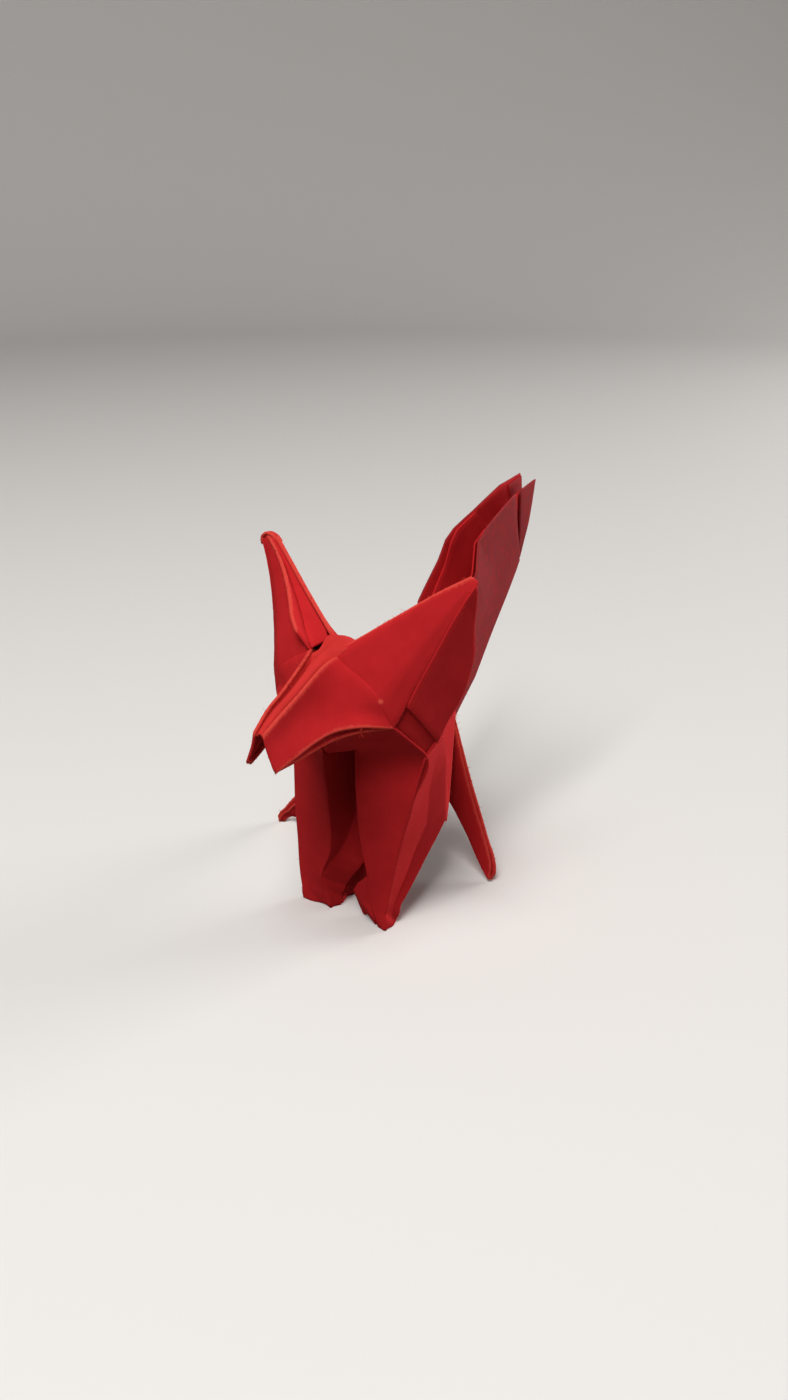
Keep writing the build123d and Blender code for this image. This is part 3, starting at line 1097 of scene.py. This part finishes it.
RIGHT_TAIL = TailHalf(
    Side.RIGHT,
    front=(
        FOLDS.rump, (2.9, 15.4, 29.1), (2.2, 17.9, 33.0), (1.88, 18.7, 34.9), (1.75, 20.1, 35.75),
        (1.55, 23.6, 36.75), (1.28, 28.4, 38.4), (0.94, 32.2, 38.9),
    ),
    rear=(
        FOLDS.tail_base, (0.0, 22.3, 18.6), (0.0, 25.6, 22.5), (0.0, 28.0, 25.5), (0.0, 29.6, 27.4),
        (0.0, 30.95, 28.9), (0.35, 31.7, 33.0), (0.88, 32.35, 38.2),
    ),
    hem=(0.12, 0.11, 0.075, 0.05, 0.02, 0.015),
    lining_gap=0.2,
    tip_front=((0.9, 29.9, 38.2), (0.3, 30.8, 34.5), (-0.1, 31.2, 30.0)),
    tip_rear=((0.72, 32.05, 38.7), (0.25, 31.7, 34.5), (-0.05, 31.35, 30.2)),
)


def linear(code: str) -> tuple[float, float, float, float]:
    """Turns an sRGB colour to linear light, by the sRGB curve: a line near black and a power above it.

    Args:
        code: colour as #RRGGBB.

    Returns:
        Linear RGBA.
    """
    parts = np.frombuffer(bytes.fromhex(code[1:]), dtype=np.uint8) / 255
    parts = np.where(parts <= 0.04045, parts / 12.92, ((parts + 0.055) / 1.055) ** 2.4)
    return (*parts.tolist(), 1.0)


# Sockets of a Mix node that mixes colours, which shares their names with its other kinds.
MIX_SHARE, MIX_FIRST, MIX_SECOND, MIX_RESULT = 0, 6, 7, 2


def add_node(
    tree: bpy.types.NodeTree,
    kind: str,
    values: dict[Any, Any] | None = None,
    links: dict[Any, bpy.types.NodeSocket] | None = None,
    **settings: Any,
) -> bpy.types.Node:
    """Adds a node with its settings, input values and links.

    Args:
        tree: node tree to add to.
        kind: type of the node.
        values: values by input.
        links: output sockets by input.
        **settings: properties of the node.

    Returns:
        The node.
    """
    node = tree.nodes.new(kind)
    for name, value in settings.items():
        setattr(node, name, value)
    for name, value in (values or {}).items():
        node.inputs[name].default_value = value
    for name, socket in (links or {}).items():
        tree.links.new(socket, node.inputs[name])
    return node


@dataclass(frozen=True)
class UncoatedPaper:
    """Uncoated origami paper, pressed from short pulp fibres and dyed red on both faces.

    Attributes:
        face: main colour.
        cloud: colour where the pulp lies thicker.
        edge: paler colour of worn folds and cut edges, which also paints a highlight along their rims.
        haze_shade_colour: greyer, darker colour painted on the tail's outer faces as a grazing sheen and as
            shade.
        cloud_mm: size of the clouds in mm.
        fibre_mm: size of the grain in mm.
        fibre_lay: squeeze of the grain along each axis, which draws it out upwards.
        edge_mm: width of the paler line along an edge.
        edge_start: distance from the edge up to which that line is at full strength, in mm.
        edge_fray: how far the grain breaks up that line, in mm.
        edge_share: share of the paler edge colour there.
        patch: factor and shift that make the grain break up that painted sheen and shade.
        bump: strength of the grain's relief.
        bump_mm: height of the relief in mm.
        glint: middle of the small painted highlight where the face's folds meet.
        glint_mm: its radius in mm.
        glint_core: share of that radius that is at full strength.
        roughness: roughness of the surface.
        ior: index of refraction, near that of cellulose.
        sheen: level of the mirror-like part of the light.
    """

    # No coating fills the pulp, so the eye gets a dull, even red with hardly a highlight, faint clouds of a
    # millimetre or two, a soft grain, and folds that are rubbed pale and fuzzy, with a painted highlight on
    # their rims.
    face: str = "#C82629"
    cloud: str = "#B41D21"
    edge: str = "#E35546"
    haze_shade_colour: str = "#862D30"
    cloud_mm: float = 1.6
    # Real pulp fibres are about 0.03 mm wide. The grain is drawn about seven times as coarse, to show.
    fibre_mm: float = 0.22
    fibre_lay: Corner = (1.0, 1.0, 0.25)
    edge_mm: float = 0.32
    edge_start: float = 0.2
    edge_fray: float = 0.5
    edge_share: float = 0.5
    patch: tuple[float, float] = (1.8, 0.05)
    bump: float = 0.5
    bump_mm: float = 0.03
    glint: Corner = (5.62, -3.75, 27.95)
    glint_mm: float = 0.3
    glint_core: float = 0.3
    roughness: float = 0.88
    ior: float = 1.45
    sheen: float = 0.1

    def material(self) -> bpy.types.Material:
        """Builds the paper: clouds, then painted sheen and shade, then pale edges and highlights, on a
        relief of the same grain.

        Returns:
            The material, which reads the sheet's attributes inset, haze_shade and rub.
        """
        paper = bpy.data.materials.new("dyed_uncoated_paper")
        paper.use_nodes = True
        tree = paper.node_tree
        shader = tree.nodes["Principled BSDF"]
        shader.inputs["Roughness"].default_value = self.roughness
        shader.inputs["IOR"].default_value = self.ior
        shader.inputs["Specular IOR Level"].default_value = self.sheen
        place = add_node(tree, "ShaderNodeTexCoord").outputs["Object"]
        inset, haze_shade, rub = (
            add_node(tree, "ShaderNodeAttribute", attribute_name=name).outputs["Fac"]
            for name in ("inset", "haze_shade", "rub")
        )
        laid = add_node(tree, "ShaderNodeMapping", {"Scale": self.fibre_lay}, {"Vector": place}).outputs[0]
        cloud, fibre = (
            add_node(
                tree, "ShaderNodeTexNoise", {"Scale": 1 / (size * MM), "Detail": detail}, {"Vector": vector}
            ).outputs["Fac"]
            for size, detail, vector in ((self.cloud_mm, 3.0, place), (self.fibre_mm, 2.0, laid))
        )
        clouded = add_node(
            tree,
            "ShaderNodeMix",
            {MIX_FIRST: linear(self.face), MIX_SECOND: linear(self.cloud)},
            {MIX_SHARE: cloud},
            data_type="RGBA",
        )
        patchy = add_node(
            tree,
            "ShaderNodeMath",
            dict(enumerate(self.patch, start=1)),
            {0: fibre},
            operation="MULTIPLY_ADD",
        )
        # Painted sheen and shade: a greyer, darker colour over the tail's outer faces, broken up by the
        # grain.
        haze_mask = add_node(
            tree, "ShaderNodeMath", {}, {0: haze_shade, 1: patchy.outputs[0]}, operation="MULTIPLY", use_clamp=True
        )
        hazed = add_node(
            tree,
            "ShaderNodeMix",
            {MIX_SECOND: linear(self.haze_shade_colour)},
            {MIX_FIRST: clouded.outputs[MIX_RESULT], MIX_SHARE: haze_mask.outputs[0]},
            data_type="RGBA",
        )
        ragged = add_node(
            tree, "ShaderNodeMath", {1: self.edge_fray}, {0: fibre, 2: inset}, operation="MULTIPLY_ADD"
        )
        # Paler edges: worn fibres, and a painted highlight along the rims.
        worn_and_highlit = add_node(
            tree,
            "ShaderNodeMapRange",
            {
                "From Min": self.edge_start,
                "From Max": self.edge_start + self.edge_mm,
                "To Min": self.edge_share,
                "To Max": 0.0,
            },
            {"Value": ragged.outputs[0]},
            interpolation_type="SMOOTHSTEP",
        )
        # Painted highlight: a small pale glint where the face's folds meet.
        centre = tuple((np.array(self.glint) + PART_SHIFT) * MM)
        from_glint = add_node(tree, "ShaderNodeVectorMath", {1: centre}, {0: place}, operation="DISTANCE")
        core = self.glint_core * self.glint_mm * MM
        glint = add_node(
            tree,
            "ShaderNodeMapRange",
            {"From Min": core, "From Max": self.glint_mm * MM, "To Min": 1.0, "To Max": 0.0},
            {"Value": from_glint.outputs["Value"]},
        )
        # The paler edge colour goes on worn and highlit edges, on rubbed panels and on the painted glint.
        wear_and_highlights = worn_and_highlit
        for other in (rub, glint.outputs[0]):
            wear_and_highlights = add_node(
                tree, "ShaderNodeMath", {}, {0: wear_and_highlights.outputs[0], 1: other}, operation="MAXIMUM"
            )
        edged = add_node(
            tree,
            "ShaderNodeMix",
            {MIX_SECOND: linear(self.edge)},
            {MIX_FIRST: hazed.outputs[MIX_RESULT], MIX_SHARE: wear_and_highlights.outputs[0]},
            data_type="RGBA",
        )
        tree.links.new(edged.outputs[MIX_RESULT], shader.inputs["Base Color"])
        relief = add_node(
            tree, "ShaderNodeBump", {"Strength": self.bump, "Distance": self.bump_mm * MM}, {"Height": fibre}
        )
        tree.links.new(relief.outputs["Normal"], shader.inputs["Normal"])
        return paper


@dataclass
class Fox:
    """The whole folded sheet.

    Attributes:
        runs: its runs of paper, in the order in which they join the mesh.
        finish: its paper.
    """

    runs: Sequence[Folded]
    finish: UncoatedPaper

    def build(self) -> bpy.types.Object:
        """Builds the sheet, dresses it and lets it stand for the part's node.

        Returns:
            The sheet's object.
        """
        panels: list[Panel] = []
        for run in self.runs:
            folded = run.panels()
            LOG.info("%s: %d panels", type(run).__name__, len(folded))
            panels += folded
        sheet = sheet_object("folded_paper", panels)
        sheet.data.materials.append(self.finish.material())
        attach(sheet, "root")
        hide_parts("folded_sheet")
        LOG.info("%s: %d panels, %d quads", sheet.name, len(panels), len(sheet.data.polygons))
        return sheet


@dataclass(frozen=True)
class SoftLamp:
    """A square lamp that faces the fox.

    Attributes:
        name: name of the lamp.
        place: place in metres.
        size: side of the square in metres.
        watts: power.
        aim: height of the point that it faces, in metres.
    """

    name: str
    place: Corner
    size: float
    watts: float
    aim: float = 0.018

    def build(self) -> bpy.types.Object:
        """Adds the lamp to the scene.

        Returns:
            The lamp's object.
        """
        light = bpy.data.lights.new(self.name, "AREA")
        light.size = self.size
        light.energy = self.watts
        lamp = bpy.data.objects.new(self.name, light)
        bpy.context.scene.collection.objects.link(lamp)
        left, back, height = self.place
        tilt = math.atan2(math.hypot(left, back), height - self.aim)
        lamp.location = self.place
        lamp.rotation_euler = (tilt, 0.0, math.atan2(back, left) + math.pi / 2)
        return lamp


@dataclass
class Studio:
    """Pale floor that sweeps up into a wall all round the fox, soft lamps and the camera.

    Attributes:
        floor_hex: colour of the floor and of the world as they are seen.
        floor_bounce: darker colour that the floor has for the light that it throws back.
        floor_roughness: roughness of the floor.
        fill: strength of the world's light on the fox; where it is seen, the strength is 1.
        hub_radius: radius of the flat face in the middle of the floor, in metres.
        flat_radius: radius at which the floor starts to rise, in metres.
        sweep_radius: radius of the rise, in metres.
        wall_height: height of the wall above it, in metres.
        flat_rings: rings of the flat floor.
        sweep_rings: rings of the rise.
        turns: points of each ring.
        lamps: the lamps.
        camera_mm: place of the camera in the fold frame.
        camera_yaw: turn of the camera about the upright axis, in radians.
        camera_pitch: how far it looks down, in radians.
        camera_near: nearest distance that it sees, in metres.
        lens: its focal length in mm.
        sensor: length of its sensor in mm.
    """

    floor_hex: str = "#E2DFDB"
    floor_bounce: str = "#6E6A66"
    floor_roughness: float = 0.9
    fill: float = 0.15
    hub_radius: float = 0.01
    flat_radius: float = 0.4
    sweep_radius: float = 0.25
    wall_height: float = 0.8
    flat_rings: int = 8
    sweep_rings: int = 24
    turns: int = 96
    lamps: tuple[SoftLamp, ...] = (
        SoftLamp("overhead", (0.04, -0.22, 0.435), 0.22, 2.4),
        SoftLamp("window", (0.27, 0.4, 0.06), 0.24, 2.8),
    )
    camera_mm: Corner = (53.6316, -72.4536, 70.0)
    camera_yaw: float = 0.596366
    camera_pitch: float = 0.463539
    camera_near: float = 0.005
    lens: float = 28.08
    sensor: float = 36.0

    def seen(self, tree: bpy.types.NodeTree) -> bpy.types.NodeSocket:
        """Adds nodes that tell the rays that show the backdrop from those that only carry its light.

        Args:
            tree: node tree of the floor or of the world.

        Returns:
            Socket that is 1 for camera, glossy and transmission rays and 0 for the others.
        """
        rays = add_node(tree, "ShaderNodeLightPath").outputs
        shown = rays["Is Camera Ray"]
        for name in ("Is Glossy Ray", "Is Transmission Ray"):
            either = add_node(tree, "ShaderNodeMath", {}, {0: shown, 1: rays[name]}, operation="MAXIMUM")
            shown = either.outputs[0]
        return shown

    def paint(self) -> bpy.types.Material:
        """Builds the floor's matte paint, which looks pale but throws back little light.

        Returns:
            The material.
        """
        paint = bpy.data.materials.new("pale_matte_floor")
        paint.use_nodes = True
        tree = paint.node_tree
        shader = tree.nodes["Principled BSDF"]
        shader.inputs["Roughness"].default_value = self.floor_roughness
        tone = add_node(
            tree,
            "ShaderNodeMix",
            {MIX_FIRST: linear(self.floor_bounce), MIX_SECOND: linear(self.floor_hex)},
            {MIX_SHARE: self.seen(tree)},
            data_type="RGBA",
        )
        tree.links.new(tone.outputs[MIX_RESULT], shader.inputs["Base Color"])
        return paint

    def floor(self) -> bpy.types.Object:
        """Builds the floor: a profile, flat, then a quarter circle and a wall, turned once round the fox.

        Returns:
            The floor's object.
        """
        rise = np.linspace(0, math.pi / 2, self.sweep_rings)[:, None]
        flat = np.linspace(self.hub_radius, self.flat_radius, self.flat_rings)[:, None] * (1.0, 0.0)
        curve = self.sweep_radius * np.hstack([np.sin(rise), 1 - np.cos(rise)]) + (self.flat_radius, 0.0)
        profile = np.concatenate([flat, curve[1:], curve[-1:] + (0.0, self.wall_height)])
        turn = np.arange(self.turns) * (2 * math.pi / self.turns)
        ring = np.stack([np.cos(turn), np.sin(turn), np.zeros(self.turns)], axis=1)
        points = (profile[:, None, :1] * ring + profile[:, None, 1:] * UP).reshape(-1, 3)
        index = np.arange(len(points)).reshape(-1, self.turns)
        ahead = np.roll(index, -1, axis=1)
        quads = np.stack([index[:-1], index[1:], ahead[1:], ahead[:-1]], axis=-1).reshape(-1, 4)
        faces = [*quads.tolist(), index[0].tolist()]
        mesh = bpy.data.meshes.new("floor")
        mesh.from_pydata(points, [], faces)
        mesh.polygons.foreach_set("use_smooth", np.ones(len(faces), dtype=bool))
        mesh.materials.append(self.paint())
        floor = bpy.data.objects.new("floor", mesh)
        bpy.context.scene.collection.objects.link(floor)
        return floor

    def world(self) -> bpy.types.World:
        """Builds the world: as pale as the floor where it is seen, and a faint, even light on the fox.

        Returns:
            The world, set as the scene's.
        """
        world = bpy.data.worlds.new("studio")
        world.use_nodes = True
        tree = world.node_tree
        sky = tree.nodes["Background"]
        sky.inputs["Color"].default_value = linear(self.floor_hex)
        level = add_node(
            tree,
            "ShaderNodeMath",
            {1: 1 - self.fill, 2: self.fill},
            {0: self.seen(tree)},
            operation="MULTIPLY_ADD",
        )
        tree.links.new(level.outputs[0], sky.inputs["Strength"])
        bpy.context.scene.world = world
        return world

    def camera(self) -> bpy.types.Object:
        """Adds the camera.

        Returns:
            The camera's object, set as the scene's camera.
        """
        view = bpy.data.cameras.new("camera")
        view.lens = self.lens
        view.sensor_width = self.sensor
        view.sensor_fit = "AUTO"
        view.clip_start = self.camera_near
        camera = bpy.data.objects.new("camera", view)
        bpy.context.scene.collection.objects.link(camera)
        camera.location = (np.array(self.camera_mm) + PART_SHIFT) * MM
        camera.rotation_euler = (math.pi / 2 - self.camera_pitch, 0.0, self.camera_yaw)
        bpy.context.scene.camera = camera
        return camera

    def build(self) -> None:
        """Builds the floor, the lamps, the world and the camera."""
        pieces = [self.floor(), *(lamp.build() for lamp in self.lamps), self.world(), self.camera()]
        bpy.context.scene.view_settings.view_transform = "Standard"
        LOG.info("studio: %s", ", ".join(piece.name for piece in pieces))


def main() -> None:
    """Builds the fox and the studio."""
    logging.basicConfig(level=logging.INFO)
    runs = (
        Chest(),
        Pleat(),
        InnerFolds(),
        LeftHindLeg(),
        RightHindLeg(),
        HeadHalf(Side.LEFT),
        RIGHT_HEAD,
        BackHalf(Side.LEFT),
        BackHalf(Side.RIGHT),
        LEFT_FRONT_LEG,
        RIGHT_FRONT_LEG,
        LEFT_TAIL,
        RIGHT_TAIL,
    )
    Fox(runs, UncoatedPaper()).build()
    Studio().build()


if __name__ == "__main__":
    main()
